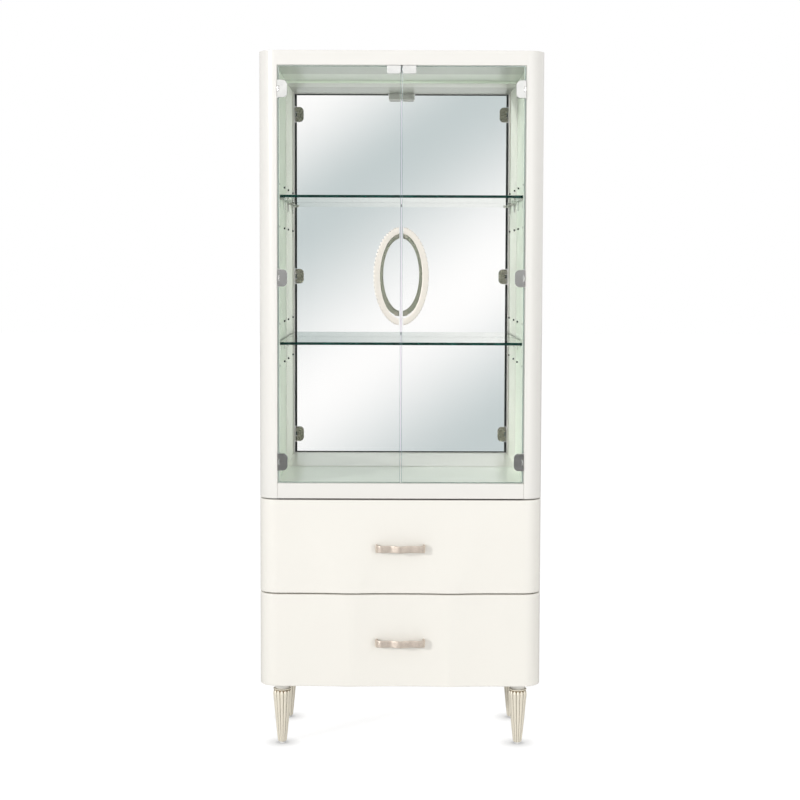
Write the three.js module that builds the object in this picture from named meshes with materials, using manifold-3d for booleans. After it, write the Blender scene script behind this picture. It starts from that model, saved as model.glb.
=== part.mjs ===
// Curio cabinet: two glass doors over two sculpted drawers, on four reeded legs.
// Millimetres, +Z up, the front faces -Y, and the floor is z = 0.
import * as THREE from 'three';
import { mergeVertices } from 'three/addons/utils/BufferGeometryUtils.js';
import Module from 'manifold-3d';

const wasm = await Module();
wasm.setup();

// ---- driving dimensions ----
const GAP = 0.3; // left between pieces that touch
const WIDTH = 848;
const HEIGHT = 2092;
const CASE_DEPTH = 438;
const PULL_REACH = 41; // the drawer pulls stand this far in front of the case
const CORNER_RADIUS = 55.5; // rounded front corners
const PANEL = 20; // side panels, rails
const THIN_PANEL = 12; // linings, drawer box walls
const GLASS = 5; // door glass
const SHELF_GLASS = 8;

// heights of the horizontal joints, from the floor up
const CASE_BOTTOM = 193;
const DRAWER_SPLIT = 475;
const DRAWER_TOP = 761;
const DECK = 809; // floor of the display space, top of the bottom rail
const CEILING = 2049; // ceiling of the display space, bottom of the top rail
const DRAWER_GAP = 2; // half of the gap over, under and between the drawer fronts

// depths, front to back
const BACK = (CASE_DEPTH + PULL_REACH) / 2;
const FRONT = BACK - CASE_DEPTH;
const DOOR_FRONT = FRONT + 2;
const DOOR_BACK = DOOR_FRONT + GLASS;
const MIRROR_FRONT = DOOR_FRONT + 418;
const MIRROR_BACK = MIRROR_FRONT + 4;
const POST_DEPTH = 90; // inner block of each corner post
const SIDE_START = FRONT + CORNER_RADIUS + 2; // front edge of the side panels

// half widths
const HALF = WIDTH / 2;
const OPENING = HALF - CORNER_RADIUS; // between the corner posts
const SIDE_INNER = HALF - PANEL;
const LINING = 371.4; // between the two linings

// shelves, with three rows of pin holes for each
const SHELF_TOPS = { upper_shelf: 1669, lower_shelf: 1230 };
const HOLE_SPACING = 64;
const HOLE_GROUPS = [1640, 1219]; // middle hole of each group
const PIN_COLUMNS = [DOOR_FRONT + 100, MIRROR_FRONT - 88];

// doors and hinges; the pivot stands just in front of the glass
const DOOR_BOTTOM = DECK + 2.5;
const DOOR_TOP = CEILING - 3;
const DOOR_EDGE = OPENING - 3.8; // hinge side of the glass
const MEETING_GAP = 4;
const PIVOT_X = OPENING - 4.3;
const PIVOT_Y = FRONT - 1;
const HINGE_HEIGHTS = { top: 1979, middle: 1422, bottom: 873 };
const CLAMP_WIDTH = 29;
const CLAMP_HEIGHT = 51;

// oval handle, cut into two halves
const OVAL_Z = 1428;
const OVAL_HALF_WIDTH = 85;
const OVAL_HALF_HEIGHT = 147;
const OVAL_BAND = 20;
const OVAL_HALF_GAP = 6.5;
const OVAL_FRONT = DOOR_FRONT - 25;
const OVAL_DEPTH = 12;

// drawers
const PULL_HEIGHTS = { upper_drawer: 615, lower_drawer: 329 };
const FRONT_THICKNESS = 28;
const BOX_HALF_WIDTH = 390;
const BOX_LENGTH = 370;
const RUNNER_HEIGHT = 45;

// legs
const LEG_X = HALF - 64;
const LEG_FROM_FRONT = 73;
const REEDS = 14;

// ---- materials ----
function material(color, roughness, metalness, opacity = 1) {
  return new THREE.MeshStandardMaterial({ color, roughness, metalness, opacity, transparent: opacity < 1 });
}

const lacquer = () => material(0xf4f1e8, 0.22, 0);
const innerLacquer = () => material(0xeef0e8, 0.3, 0);
const clearGlass = () => material(0xd8ebe0, 0.02, 0, 0.25);
const silverMirror = () => material(0xdfe6e6, 0.02, 1);
const champagneSilver = () => material(0xc9bba4, 0.35, 0.8);
const polishedSteel = () => material(0xb8babc, 0.2, 1);
const whitePlastic = () => material(0xf0f0ee, 0.45, 0);
const zincSteel = () => material(0x9fa2a4, 0.4, 1);
const drawerBoxBoard = () => material(0xe9e2d2, 0.5, 0);

// ---- helpers ----
const cabinet = new THREE.Group();

function add(name, geometry, look) {
  const mesh = new THREE.Mesh(geometry, look);
  mesh.name = name;
  cabinet.add(mesh);
  return mesh;
}

function addBox(name, x, y, z, look) {
  const mesh = add(name, new THREE.BoxGeometry(x[1] - x[0], y[1] - y[0], z[1] - z[0]), look);
  mesh.position.set((x[0] + x[1]) / 2, (y[0] + y[1]) / 2, (z[0] + z[1]) / 2);
  return mesh;
}

function shapeOf(points) {
  return new THREE.Shape(points.map(([x, y]) => new THREE.Vector2(x, y)));
}

// A plan outline in X and Y, raised from z0 to z1.
function upright(shape, z0, z1) {
  const geometry = new THREE.ExtrudeGeometry(shape, { depth: z1 - z0, bevelEnabled: false, curveSegments: 12 });
  return geometry.translate(0, 0, z0);
}

// An outline in X and Z, running forward from y1 to y0.
function facing(shape, y0, y1, curveSegments = 8) {
  const geometry = new THREE.ExtrudeGeometry(shape, { depth: y1 - y0, bevelEnabled: false, curveSegments });
  return geometry.rotateX(Math.PI / 2).translate(0, y1, 0);
}

// An outline in Y and Z, running along X from x0 to x1.
function sideways(shape, x0, x1, curveSegments = 3) {
  const geometry = new THREE.ExtrudeGeometry(shape, { depth: x1 - x0, bevelEnabled: false, curveSegments });
  const turn = new THREE.Matrix4().makeBasis(
    new THREE.Vector3(0, 1, 0), new THREE.Vector3(0, 0, 1), new THREE.Vector3(1, 0, 0));
  return geometry.applyMatrix4(turn).translate(x0, 0, 0);
}

function boxAt(x, y, z) {
  const geometry = new THREE.BoxGeometry(x[1] - x[0], y[1] - y[0], z[1] - z[0]);
  return geometry.translate((x[0] + x[1]) / 2, (y[0] + y[1]) / 2, (z[0] + z[1]) / 2);
}

function solid(geometry) {
  const bare = geometry.clone();
  bare.deleteAttribute('normal');
  bare.deleteAttribute('uv');
  const merged = mergeVertices(bare);
  const vertProperties = new Float32Array(merged.attributes.position.array);
  return new wasm.Manifold(new wasm.Mesh({ numProp: 3, vertProperties, triVerts: new Uint32Array(merged.index.array) }));
}

function geometryOf(manifold) {
  const mesh = manifold.getMesh();
  const geometry = new THREE.BufferGeometry();
  geometry.setAttribute('position', new THREE.Float32BufferAttribute(mesh.vertProperties, 3));
  geometry.setIndex(Array.from(mesh.triVerts));
  geometry.computeVertexNormals();
  return geometry;
}

function cut(body, ...tools) {
  return geometryOf(tools.reduce((left, tool) => left.subtract(solid(tool)), solid(body)));
}

function join(body, ...others) {
  return geometryOf(others.reduce((left, other) => left.add(solid(other)), solid(body)));
}

// Rows of points going up, all anticlockwise seen from above and equally many, closed top and bottom.
function loft(rows) {
  const count = rows[0].length;
  const position = rows.flat(2);
  const index = [];
  for (let row = 0; row < rows.length - 1; row += 1) {
    for (let i = 0; i < count; i += 1) {
      const a = row * count + i;
      const b = row * count + ((i + 1) % count);
      index.push(a, b, b + count, a, b + count, a + count);
    }
  }
  const cap = (row) => THREE.ShapeUtils.triangulateShape(row.map(([x, y]) => new THREE.Vector2(x, y)), []);
  for (const [a, b, c] of cap(rows[0])) {
    index.push(a, c, b);
  }
  const top = (rows.length - 1) * count;
  for (const [a, b, c] of cap(rows[rows.length - 1])) {
    index.push(top + a, top + b, top + c);
  }
  const geometry = new THREE.BufferGeometry();
  geometry.setAttribute('position', new THREE.Float32BufferAttribute(position, 3));
  geometry.setIndex(index);
  geometry.computeVertexNormals();
  return geometry;
}

function eachSide(build) {
  build('left', -1);
  build('right', 1);
}

function span(side, inner, outer) {
  return side < 0 ? [-outer, -inner] : [inner, outer];
}

// ---- case ----
function addSides() {
  eachSide((name, side) => {
    addBox(`${name}_side_panel`, span(side, SIDE_INNER, HALF), [SIDE_START, BACK], [CASE_BOTTOM, HEIGHT], lacquer());
    addLining(name, side);
    addCornerPost(name, side);
  });
}

function addLining(name, side) {
  const outline = shapeOf([
    [FRONT + POST_DEPTH + GAP, DECK + GAP],
    [MIRROR_BACK, DECK + GAP],
    [MIRROR_BACK, CEILING - GAP],
    [FRONT + POST_DEPTH + GAP, CEILING - GAP],
  ]);
  for (const y of PIN_COLUMNS) {
    for (const middle of HOLE_GROUPS) {
      for (const step of [-1, 0, 1]) {
        const hole = new THREE.Path();
        hole.absarc(y, middle + step * HOLE_SPACING, 2.5, 0, 2 * Math.PI, true);
        outline.holes.push(hole);
      }
    }
  }
  const [x0, x1] = span(side, LINING, LINING + THIN_PANEL);
  add(`${name}_side_lining`, sideways(outline, x0, x1, 4), innerLacquer());
}

function addCornerPost(name, side) {
  const outline = new THREE.Shape();
  outline.moveTo(side * OPENING, FRONT);
  outline.absarc(side * OPENING, FRONT + CORNER_RADIUS, CORNER_RADIUS, -Math.PI / 2, side > 0 ? 0 : -Math.PI, side < 0);
  outline.lineTo(side * HALF, SIDE_START - GAP);
  outline.lineTo(side * (SIDE_INNER - GAP), SIDE_START - GAP);
  outline.lineTo(side * (SIDE_INNER - GAP), FRONT + POST_DEPTH);
  outline.lineTo(side * OPENING, FRONT + POST_DEPTH);
  add(`${name}_corner_post`, upright(outline, DRAWER_TOP + DRAWER_GAP, HEIGHT), lacquer());
}

// Full width behind the corner posts, notched round them in front.
function notchedOutline(back) {
  const front = FRONT + PANEL + GAP;
  const notch = FRONT + POST_DEPTH + GAP;
  const narrow = OPENING - GAP;
  const wide = SIDE_INNER - GAP;
  return shapeOf([
    [-narrow, front], [narrow, front], [narrow, notch], [wide, notch],
    [wide, back], [-wide, back], [-wide, notch], [-narrow, notch],
  ]);
}

function addPanels() {
  const railX = [-OPENING + GAP, OPENING - GAP];
  const railY = [FRONT, FRONT + PANEL];
  const wideX = [-SIDE_INNER + GAP, SIDE_INNER - GAP];
  addBox('top_rail', railX, railY, [CEILING, HEIGHT], lacquer());
  addBox('bottom_rail', railX, railY, [DRAWER_TOP + DRAWER_GAP, DECK], lacquer());
  add('top_panel', upright(notchedOutline(BACK), HEIGHT - 18, HEIGHT), lacquer());
  add('ceiling_panel', upright(notchedOutline(MIRROR_BACK), CEILING, CEILING + THIN_PANEL), innerLacquer());
  add('deck_panel', upright(notchedOutline(MIRROR_BACK), DECK - 19, DECK), innerLacquer());
  addBox('back_panel', wideX, [MIRROR_BACK + GAP, BACK], [CASE_BOTTOM, HEIGHT - 18 - GAP], lacquer());
  addBox('base_panel', wideX, [FRONT + FRONT_THICKNESS + 1, MIRROR_BACK], [CASE_BOTTOM, CASE_BOTTOM + 18], lacquer());
  const dividerY = [FRONT + 60, FRONT + 120];
  addBox('drawer_divider', wideX, dividerY, [DRAWER_SPLIT - 9, DRAWER_SPLIT + 9], lacquer());
  const mirrorX = [-LINING + GAP, LINING - GAP];
  addBox('mirror', mirrorX, [MIRROR_FRONT, MIRROR_BACK], [DECK + GAP, CEILING - GAP], silverMirror());
}

// ---- shelves and their supports ----
function addShelves() {
  const half = OPENING - 1;
  for (const [name, top] of Object.entries(SHELF_TOPS)) {
    const depth = [DOOR_FRONT + 24, MIRROR_FRONT - 2];
    addBox(name, [-half, half], depth, [top - SHELF_GLASS, top], clearGlass());
    eachSide((sideName, side) => {
      addShelfSupport(`${name}_support_${sideName}_front`, side, PIN_COLUMNS[0], top - SHELF_GLASS - GAP);
      addShelfSupport(`${name}_support_${sideName}_back`, side, PIN_COLUMNS[1], top - SHELF_GLASS - GAP);
    });
  }
}

function addShelfSupport(name, side, y, top) {
  const wall = side * (LINING - GAP);
  const plate = side * (LINING - GAP - 4);
  const tip = side * (LINING - GAP - 24);
  const profile = shapeOf([
    [wall, top], [tip, top], [tip, top - 4], [plate, top - 4], [plate, top - 27], [wall, top - 27],
  ]);
  add(name, facing(profile, y - 7, y + 7), polishedSteel());
}

// ---- doors ----
function addDoors() {
  eachSide((name, side) => {
    const x = span(side, MEETING_GAP / 2, DOOR_EDGE);
    addBox(`${name}_door_glass`, x, [DOOR_FRONT, DOOR_BACK], [DOOR_BOTTOM, DOOR_TOP], clearGlass());
    add(`${name}_door_handle`, ovalHalf(side), champagneSilver());
    add(`${name}_door_strike`, strikePlate(side), polishedSteel());
    for (const [place, z] of Object.entries(HINGE_HEIGHTS)) {
      placeHinge(add(`${name}_${place}_hinge_clamp`, hingeClamp(), polishedSteel()), side, z);
      placeHinge(add(`${name}_${place}_hinge_bracket`, hingeBracket(), polishedSteel()), side, z);
    }
  });
}

// Hinge pieces are built for the left side round their pivot; half a turn about Y suits the right side.
function placeHinge(mesh, side, z) {
  mesh.position.set(side * PIVOT_X, PIVOT_Y, z);
  mesh.rotation.y = side > 0 ? Math.PI : 0;
}

// A D-shaped plate in front of the glass and another behind it, joined beyond the edge of the glass.
function hingeClamp() {
  const flat = -3;
  const halfHeight = CLAMP_HEIGHT / 2;
  const round = 14;
  const outline = new THREE.Shape();
  outline.moveTo(flat, -halfHeight);
  outline.lineTo(flat + CLAMP_WIDTH - round, -halfHeight);
  outline.absarc(flat + CLAMP_WIDTH - round, -halfHeight + round, round, -Math.PI / 2, 0, false);
  outline.absarc(flat + CLAMP_WIDTH - round, halfHeight - round, round, 0, Math.PI / 2, false);
  outline.lineTo(flat, halfHeight);
  const glassFront = DOOR_FRONT - PIVOT_Y;
  const glassEdge = PIVOT_X - DOOR_EDGE;
  const body = facing(outline, -2.5, glassFront + GLASS + 3.8, 5);
  const slot = boxAt([glassEdge - GAP, 60], [glassFront - GAP, glassFront + GLASS + GAP], [-60, 60]);
  const notch = boxAt([flat - 1, 3], [-10, 30], [-8.5, 8.5]);
  const pinHole = new THREE.CylinderGeometry(1.3, 1.3, 48, 10).rotateX(Math.PI / 2);
  return cut(body, slot, notch, pinHole);
}

// A plate on the post behind the glass, an arm past the edge of the glass, a barrel and its pin.
function hingeBracket() {
  const post = -(OPENING - PIVOT_X) + GAP;
  const plate = boxAt([post, post + 3], [14, 42], [-20, 20]);
  const arm = boxAt([post, post + 3], [-1.5, 16], [-7, 7]);
  const barrel = new THREE.CylinderGeometry(2.7, 2.7, 14, 14).rotateX(Math.PI / 2);
  const pin = new THREE.CylinderGeometry(1, 1, 44, 10).rotateX(Math.PI / 2);
  return join(plate, arm, barrel, pin);
}

// Half of an oval ring that stands off the glass on two short posts at its ends.
function ovalHalf(side) {
  const outerX = OVAL_HALF_WIDTH;
  const outerZ = OVAL_HALF_HEIGHT;
  const innerX = outerX - OVAL_BAND;
  const innerZ = outerZ - OVAL_BAND;
  const steps = 24;
  const arc = (halfWidth, halfHeight) => {
    const start = Math.asin(OVAL_HALF_GAP / halfWidth);
    return Array.from({ length: steps + 1 }, (_, i) => {
      const angle = start + (i / steps) * (Math.PI - 2 * start);
      return [side * halfWidth * Math.sin(angle), OVAL_Z + halfHeight * Math.cos(angle)];
    });
  };
  const outline = shapeOf([...arc(outerX, outerZ), ...arc(innerX, innerZ).reverse()]);
  const band = facing(outline, OVAL_FRONT, OVAL_FRONT + OVAL_DEPTH);
  const standOff = (end) => {
    const length = DOOR_FRONT - GAP - (OVAL_FRONT + OVAL_DEPTH) + 3;
    const post = new THREE.CylinderGeometry(4.5, 4.5, length, 14);
    return post.translate(side * 17, DOOR_FRONT - GAP - length / 2, OVAL_Z + end * (outerZ - OVAL_BAND / 2 - 1.5));
  };
  return join(band, standOff(1), standOff(-1));
}

// A U over the top corner of the glass, with rounded lower corners.
function strikePlate(side) {
  const inner = side * (MEETING_GAP / 2 + 1);
  const outer = side * (MEETING_GAP / 2 + 41);
  const top = DOOR_TOP + 2;
  const bottom = top - 24;
  const round = 6;
  const outline = new THREE.Shape();
  outline.moveTo(inner, top);
  outline.lineTo(inner, bottom + round);
  outline.quadraticCurveTo(inner, bottom, inner + side * round, bottom);
  outline.lineTo(outer - side * round, bottom);
  outline.quadraticCurveTo(outer, bottom, outer, bottom + round);
  outline.lineTo(outer, top);
  const body = facing(outline, DOOR_FRONT - 2.5, DOOR_BACK + 2.5, 4);
  return cut(body, boxAt([-60, 60], [DOOR_FRONT - GAP, DOOR_BACK + GAP], [bottom - 9, DOOR_TOP + GAP]));
}

// ---- catch under the ceiling: a body with a spring plunger behind each door ----
function addLatch() {
  const plungerX = 22;
  const plungerZ = CEILING - 12;
  const face = DOOR_BACK + 4.5;
  const rod = (radius, y0, y1, x) => {
    const cylinder = new THREE.CylinderGeometry(radius, radius, y1 - y0, 16);
    return cylinder.translate(x, (y0 + y1) / 2, plungerZ);
  };
  const body = boxAt([-44, 44], [face, face + 36], [CEILING - 22, CEILING - GAP]);
  const bores = [-plungerX, plungerX].map((x) => rod(4.5, face - 5, face + 22, x));
  add('latch_body', cut(body, ...bores), whitePlastic());
  eachSide((name, side) => {
    add(`${name}_latch_plunger`, rod(4, DOOR_BACK + 2.8, face + 16, side * plungerX), whitePlastic());
  });
}

// ---- drawers ----
// The two fronts share one carved surface: two ridges with a hollow between and beside them.
// Each ridge widens upwards into a flat that fades into the plain upper edge.
const RIDGE_X = 148;
const RIDGE_RISE = 8;
const ARCH_HEIGHT = 455; // the middle hollow ends in an arch this far above the case bottom
const HOLLOW_END = 300; // the outer hollows run out here

function clamp01(value) {
  return Math.min(1, Math.max(0, value));
}

function smooth(value) {
  const t = clamp01(value);
  return t * t * (3 - 2 * t);
}

function hollowHalfWidth(z) {
  const t = clamp01((z - CASE_BOTTOM) / ARCH_HEIGHT);
  return (RIDGE_X - 0.6) * Math.sqrt(Math.max(0.02, 1 - t ** 3));
}

function ridgeOuterEdge(z) {
  return Math.min(HOLLOW_END - 20, RIDGE_X + 0.6 + 23 * ((z - CASE_BOTTOM) / 295) ** 3.5);
}

function relief(x, z) {
  const crest = RIDGE_RISE * (1 - smooth((z - DRAWER_SPLIT) / 245));
  const reach = Math.abs(x);
  const inner = hollowHalfWidth(z);
  const outer = ridgeOuterEdge(z);
  if (reach < inner) {
    const depth = (RIDGE_RISE - 1) * (1 - clamp01((z - CASE_BOTTOM) / ARCH_HEIGHT) ** 3);
    return crest - Math.min(depth, crest) * (1 - (reach / inner) ** 3);
  }
  if (reach > outer) {
    return crest * (1 - clamp01((reach - outer) / (HOLLOW_END - outer))) ** 2.4;
  }
  return crest;
}

// Positions across the front: few on the flats, more in the hollows, none off the ridges' edges.
function frontStations(z) {
  const inner = hollowHalfWidth(z);
  const outer = ridgeOuterEdge(z);
  const between = (a, b, steps) => Array.from({ length: steps }, (_, i) => a + ((b - a) * i) / steps);
  const half = [...between(0, inner, 6), inner, ...between(outer, HOLLOW_END, 5), HOLLOW_END];
  return [...half.slice(1).reverse().map((x) => -x), ...half];
}

function frontRow(z) {
  const corner = (side, from) => Array.from({ length: 7 }, (_, i) => {
    const angle = from + (i / 6) * (Math.PI / 2);
    return [
      side * OPENING + CORNER_RADIUS * Math.cos(angle),
      FRONT + CORNER_RADIUS + CORNER_RADIUS * Math.sin(angle),
      z,
    ];
  });
  const inside = FRONT + FRONT_THICKNESS;
  return [
    ...corner(-1, Math.PI),
    ...frontStations(z).map((x) => [x, FRONT - relief(x, z), z]),
    ...corner(1, 1.5 * Math.PI),
    [SIDE_INNER, FRONT + CORNER_RADIUS, z],
    [SIDE_INNER, inside, z],
    [-SIDE_INNER, inside, z],
    [-SIDE_INNER, FRONT + CORNER_RADIUS, z],
  ];
}

// An open-topped box behind the front.
function drawerBox(z0, z1) {
  const y0 = FRONT + FRONT_THICKNESS + GAP;
  const outer = boxAt([-BOX_HALF_WIDTH, BOX_HALF_WIDTH], [y0, y0 + BOX_LENGTH], [z0, z1]);
  const innerX = BOX_HALF_WIDTH - THIN_PANEL;
  const inner = boxAt([-innerX, innerX], [y0 + THIN_PANEL, y0 + BOX_LENGTH - THIN_PANEL], [z0 + 8, z1 + 10]);
  return cut(outer, inner);
}

// A strap with three waves seen from above, turned back to the drawer at both ends.
function drawerPull(z) {
  const thickness = 5;
  const halfHeight = 12.5;
  const under = [69, 72, 75].flatMap((x) => [relief(x, z - halfHeight), relief(x, z), relief(x, z + halfHeight)]);
  const foot = Math.max(...under) + GAP;
  const crest = PULL_REACH - thickness / 2;
  const points = [
    [-71, foot], [-72, 15], [-56, 31], [-28, 21], [0, crest],
    [28, 21], [56, 31], [72, 15], [71, foot],
  ];
  const path = new THREE.SplineCurve(points.map(([x, reach]) => new THREE.Vector2(x, FRONT - reach)));
  const steps = 48;
  const edge = (offset) => Array.from({ length: steps + 1 }, (_, i) => {
    const point = path.getPoint(i / steps);
    const tangent = path.getTangent(i / steps);
    const level = i === 0 || i === steps;
    return [point.x - tangent.y * offset, level ? FRONT - foot : point.y + tangent.x * offset];
  });
  const outline = [...edge(-thickness / 2), ...edge(thickness / 2).reverse()];
  return upright(shapeOf(outline), z - halfHeight, z + halfHeight);
}

function addDrawer(name, z0, z1, rows) {
  const heights = Array.from({ length: rows }, (_, i) => z0 + ((z1 - z0) * i) / (rows - 1));
  const boxBottom = z0 + 23;
  const boxTop = z1 - 33;
  const middle = (boxBottom + boxTop) / 2;
  add(`${name}_front`, loft(heights.map(frontRow)), lacquer());
  add(`${name}_box`, drawerBox(boxBottom, boxTop), drawerBoxBoard());
  add(`${name}_pull`, drawerPull(PULL_HEIGHTS[name]), champagneSilver());
  eachSide((sideName, side) => {
    const x = span(side, SIDE_INNER - 12.8, SIDE_INNER - GAP);
    const z = [middle - RUNNER_HEIGHT / 2, middle + RUNNER_HEIGHT / 2];
    addBox(`${name}_${sideName}_runner`, x, [FRONT + 62, FRONT + 412], z, zincSteel());
  });
}

function addDrawers() {
  addDrawer('lower_drawer', CASE_BOTTOM, DRAWER_SPLIT - DRAWER_GAP, 8);
  addDrawer('upper_drawer', DRAWER_SPLIT + DRAWER_GAP, DRAWER_TOP - DRAWER_GAP, 13);
}

// ---- legs ----
// Heights and radii going up: glide, reeded taper, then a ring and a dished neck.
const LEG_PROFILE = [
  [0, 9.5, 'round'], [4, 9.5, 'round'], [4, 12.5, 'round'], [7, 14, 'reeded'], [80, 21, 'reeded'],
  [152, 27.6, 'reeded'], [162, 28, 'reeded'], [167, 25, 'round'], [169, 27, 'round'], [172, 27, 'round'],
  [174, 22, 'round'], [181, 20.5, 'round'], [188, 22.5, 'round'], [CASE_BOTTOM - GAP, 26.5, 'round'],
];

function legGeometry() {
  const rows = LEG_PROFILE.map(([z, radius, kind]) => Array.from({ length: 2 * REEDS }, (_, i) => {
    const groove = kind === 'reeded' && i % 2 === 1 ? 0.9 : 1;
    const angle = (i / (2 * REEDS)) * 2 * Math.PI;
    return [radius * groove * Math.cos(angle), radius * groove * Math.sin(angle), z];
  }));
  return loft(rows);
}

function addLegs() {
  eachSide((name, side) => {
    const front = add(`front_${name}_leg`, legGeometry(), champagneSilver());
    front.position.set(side * LEG_X, FRONT + LEG_FROM_FRONT, 0);
    const back = add(`back_${name}_leg`, legGeometry(), champagneSilver());
    back.position.set(side * LEG_X, BACK - LEG_FROM_FRONT, 0);
  });
}

addSides();
addPanels();
addShelves();
addDoors();
addLatch();
addDrawers();
addLegs();

export default cabinet;
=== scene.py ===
import math

import bpy
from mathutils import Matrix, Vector


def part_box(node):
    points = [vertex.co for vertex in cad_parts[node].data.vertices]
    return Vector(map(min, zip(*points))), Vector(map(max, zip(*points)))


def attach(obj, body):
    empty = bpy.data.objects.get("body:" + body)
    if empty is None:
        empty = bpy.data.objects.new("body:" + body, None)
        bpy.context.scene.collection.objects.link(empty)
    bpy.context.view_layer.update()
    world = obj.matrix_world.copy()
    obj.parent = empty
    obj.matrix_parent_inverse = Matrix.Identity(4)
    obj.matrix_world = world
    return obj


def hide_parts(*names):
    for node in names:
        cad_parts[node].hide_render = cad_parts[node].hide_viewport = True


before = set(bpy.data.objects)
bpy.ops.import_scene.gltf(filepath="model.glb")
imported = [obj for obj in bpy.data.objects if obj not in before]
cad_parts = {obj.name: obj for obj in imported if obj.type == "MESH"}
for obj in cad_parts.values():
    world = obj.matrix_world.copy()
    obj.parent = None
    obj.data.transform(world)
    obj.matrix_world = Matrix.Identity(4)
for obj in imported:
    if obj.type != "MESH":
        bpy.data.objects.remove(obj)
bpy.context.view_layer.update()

bl_info = {
    "name": "Curio cabinet",
    "version": (1, 0, 0),
    "blender": (4, 5, 0),
    "location": "View3D > Sidebar > Curio cabinet",
    "description": "Builds the finish of a lacquered curio cabinet with glass doors over carved drawers",
    "category": "Object",
}

# ---- places read from the frame ----
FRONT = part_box("bottom_rail")[0].y
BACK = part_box("back_panel")[1].y
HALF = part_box("right_side_panel")[1].x
SIDE_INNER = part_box("right_side_panel")[0].x
SIDE_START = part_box("right_side_panel")[0].y
CASE_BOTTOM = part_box("right_side_panel")[0].z
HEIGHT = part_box("right_side_panel")[1].z
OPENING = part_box("right_corner_post")[0].x
POST_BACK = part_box("right_corner_post")[1].y
POST_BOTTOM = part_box("right_corner_post")[0].z
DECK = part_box("deck_panel")[1].z
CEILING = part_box("ceiling_panel")[0].z
RAIL_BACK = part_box("top_rail")[1].y
CORNER = HALF - OPENING
DOOR_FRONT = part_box("left_door_glass")[0].y
DOOR_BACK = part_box("left_door_glass")[1].y
DRAWER_SPLIT = (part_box("upper_drawer_front")[0].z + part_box("lower_drawer_front")[1].z) / 2
SIDES = (("left", -1), ("right", 1))
# heights of the shelf-pin holes that the supports fill, and the spacing of the holes
PIN_ROWS = {"upper_shelf": 1.640, "lower_shelf": 1.219}
PIN_STEP = 0.064


# ---- settings a user may change ----
class CabinetSizes(bpy.types.PropertyGroup):
    """Sizes of the finish that the frame leaves open."""

    edge_round: bpy.props.FloatProperty(
        name="Edge round", description="Rounding of the boards' edges", default=0.0012, unit="LENGTH"
    )
    drawer_edge: bpy.props.FloatProperty(
        name="Drawer edge", description="Rounding of the drawer fronts' edges", default=0.003, unit="LENGTH"
    )
    ridge_x: bpy.props.FloatProperty(
        name="Ridge place", description="Distance of each carved ridge from the middle",
        default=0.148, unit="LENGTH",
    )
    ridge_rise: bpy.props.FloatProperty(
        name="Ridge rise", description="How far the carved ridges stand forward", default=0.008, unit="LENGTH"
    )
    arch_height: bpy.props.FloatProperty(
        name="Arch height", description="Top of the middle hollow above the case bottom",
        default=0.455, unit="LENGTH",
    )
    hollow_end: bpy.props.FloatProperty(
        name="Hollow end", description="Distance from the middle where the outer hollows run out",
        default=0.300, unit="LENGTH",
    )
    reeds: bpy.props.IntProperty(name="Reeds", description="Reeds round each leg", default=14, min=6)
    seal_width: bpy.props.FloatProperty(
        name="Seal width", description="Width of the dust seal round the doors", default=0.0075, unit="LENGTH"
    )


class CabinetColours(bpy.types.PropertyGroup):
    """Colours of the finishes."""

    lacquer: bpy.props.FloatVectorProperty(
        name="Lacquer", description="Outside lacquer", subtype="COLOR", default=(0.795, 0.778, 0.737)
    )
    # painted light: the outside white made lighter for the display space, and greener as seen through the
    # glass
    inner_lacquer: bpy.props.FloatVectorProperty(
        name="Inner lacquer", description="Lacquer inside the display space",
        subtype="COLOR", default=(0.92, 0.955, 0.875),
    )
    champagne: bpy.props.FloatVectorProperty(
        name="Champagne silver", description="Legs, pulls and oval handle",
        subtype="COLOR", default=(0.87, 0.815, 0.69),
    )
    antiquing: bpy.props.FloatVectorProperty(
        name="Antiquing", description="Dark glaze in the grooves", subtype="COLOR", default=(0.27, 0.19, 0.10)
    )
    glass_tint: bpy.props.FloatVectorProperty(
        name="Glass tint", description="Colour of light passing one glass surface",
        subtype="COLOR", default=(0.967, 0.986, 0.967),
    )
    glass_edge: bpy.props.FloatVectorProperty(
        name="Glass edge", description="Polished edges of the glass",
        subtype="COLOR", default=(0.004, 0.05, 0.04),
    )
    steel: bpy.props.FloatVectorProperty(
        name="Polished steel", description="Hinges, strikes and supports",
        subtype="COLOR", default=(0.76, 0.76, 0.74),
    )


class StageSettings(bpy.types.PropertyGroup):
    """Camera and light."""

    camera_distance: bpy.props.FloatProperty(
        name="Camera distance", description="From the doors", default=4.9, unit="LENGTH"
    )
    eye_height: bpy.props.FloatProperty(
        name="Eye height", description="Camera height", default=1.459, unit="LENGTH"
    )
    pitch: bpy.props.FloatProperty(
        name="Pitch", description="Downward tilt of the camera", default=math.radians(3.66), subtype="ANGLE"
    )
    roll: bpy.props.FloatProperty(
        name="Roll", description="Small sideways tilt", default=math.radians(-0.17), subtype="ANGLE"
    )
    lens: bpy.props.FloatProperty(name="Lens", description="Focal length in millimetres", default=74.15)
    key_energy: bpy.props.FloatProperty(
        name="Key light", description="Power of the key light", default=700.0, unit="POWER"
    )
    ambient: bpy.props.FloatProperty(
        name="Ambient", description="Brightness of the surroundings", default=0.72
    )


def sizes():
    return bpy.context.scene.cabinet_sizes


def colours():
    return bpy.context.scene.cabinet_colours


# ---- node helpers ----
def new_material(name):
    """The finish of this name; its tree is None when it has been made before."""
    name = f"finish_{name}"
    made = bpy.data.materials.get(name)
    if made is not None:
        return made, None
    made = bpy.data.materials.new(name)
    made.use_nodes = True
    made.node_tree.nodes.clear()
    return made, made.node_tree


def fill(tree, socket, value):
    """Links another node's output to the socket, or sets the socket to a plain value."""
    if isinstance(value, bpy.types.NodeSocket):
        tree.links.new(value, socket)
    else:
        socket.default_value = value


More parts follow.
